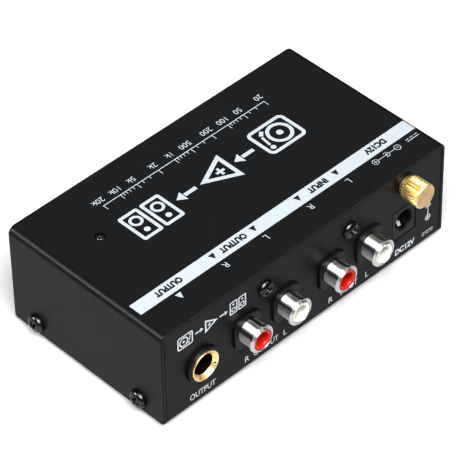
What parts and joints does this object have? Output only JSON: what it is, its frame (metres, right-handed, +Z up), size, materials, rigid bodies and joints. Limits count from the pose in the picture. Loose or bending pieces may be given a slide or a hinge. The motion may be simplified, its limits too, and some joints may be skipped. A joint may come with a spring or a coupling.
{
  "type": "phono preamp",
  "caption": "Small phono preamplifier: folded black steel box with colour-coded phono sockets, output jack, DC inlet and knurled ground terminal on one long panel.",
  "frame": {"origin": "centre of the bounding box at its bottom, on the surface that the feet stand on", "axes": "+X along the panel to the right as seen from the front, +Y away from the connector panel, +Z up; the sockets, inlet and ground terminal face -Y"},
  "size_m": [0.1094, 0.0654, 0.0337],
  "materials": {
    "black_powder_coat": "fine satin texture",
    "dark_steel": "black zinc, satin",
    "black_rubber": "matte",
    "black_plastic": "moulded, semi-matte",
    "nickel_plate": "bright nickel",
    "gold_plate": "gold flash, polished",
    "red_plastic": "gloss",
    "cream_plastic": "gloss",
    "green_insulation": "gloss",
    "led_lens": "clear, unlit",
    "circuit_board": "solder mask",
    "capacitor_sleeve": "shrink sleeve",
    "film_box": "moulded",
    "ceramic_disc": "dipped",
    "resistor_body": "lacquer"
  },
  "bodies": {
    "root": {"top_cover": "black_powder_coat", "chassis": "black_powder_coat", "cover_screws": "dark_steel", "rubber_feet": "black_rubber", "rca_output_housing": "black_plastic", "rca_input_housing": "black_plastic", "rca_shell_output_right": "nickel_plate", "rca_insert_output_right": "red_plastic", "rca_contact_output_right": "nickel_plate", "rca_shell_output_left": "nickel_plate", "rca_insert_output_left": "cream_plastic", "rca_contact_output_left": "nickel_plate", "rca_shell_input_right": "nickel_plate", "rca_insert_input_right": "red_plastic", "rca_contact_input_right": "nickel_plate", "rca_shell_input_left": "nickel_plate", "rca_insert_input_left": "cream_plastic", "rca_contact_input_left": "nickel_plate", "panel_screws": "dark_steel", "phone_jack_housing": "black_plastic", "phone_jack_ferrule": "gold_plate", "phone_jack_tip_spring": "nickel_plate", "phone_jack_ring_spring": "nickel_plate", "dc_jack_housing": "black_plastic", "dc_jack_pin": "nickel_plate", "dc_jack_spring": "nickel_plate", "ground_nut": "nickel_plate", "ground_lug": "nickel_plate", "ground_lead": "green_insulation", "power_led": "led_lens", "led_spacer": "black_plastic", "led_leads": "nickel_plate", "main_pcb": "circuit_board", "pcb_standoffs": "nickel_plate", "pcb_screws": "nickel_plate", "ic_sockets": "black_plastic", "op_amps": "black_plastic", "signal_capacitors": "capacitor_sleeve", "supply_capacitors": "capacitor_sleeve", "film_capacitors": "film_box", "ceramic_capacitors": "ceramic_disc", "resistors": "resistor_body", "voltage_regulator": "black_plastic", "polarity_diode": "black_plastic"},
    "ground_washer": {"ground_washer": "gold_plate"},
    "ground_screw": {"ground_thumbscrew": "gold_plate"}
  },
  "joints": [
    {"name": "ground_screw_travel", "type": "slide", "parent": "root", "child": "ground_washer", "axis": [0, -1, 0], "range_m": [0, 0.0021]},
    {"name": "ground_screw_turn", "type": "hinge", "parent": "ground_washer", "child": "ground_screw", "pos_m": [0.03775, -0.02565, 0.02795], "axis": [0, -1, 0], "range_deg": [0, 1080]}
  ],
  "couplings": [
    {"joint": "ground_screw_turn", "follows": "ground_screw_travel", "rad_per_m": 8975.9}
  ]
}
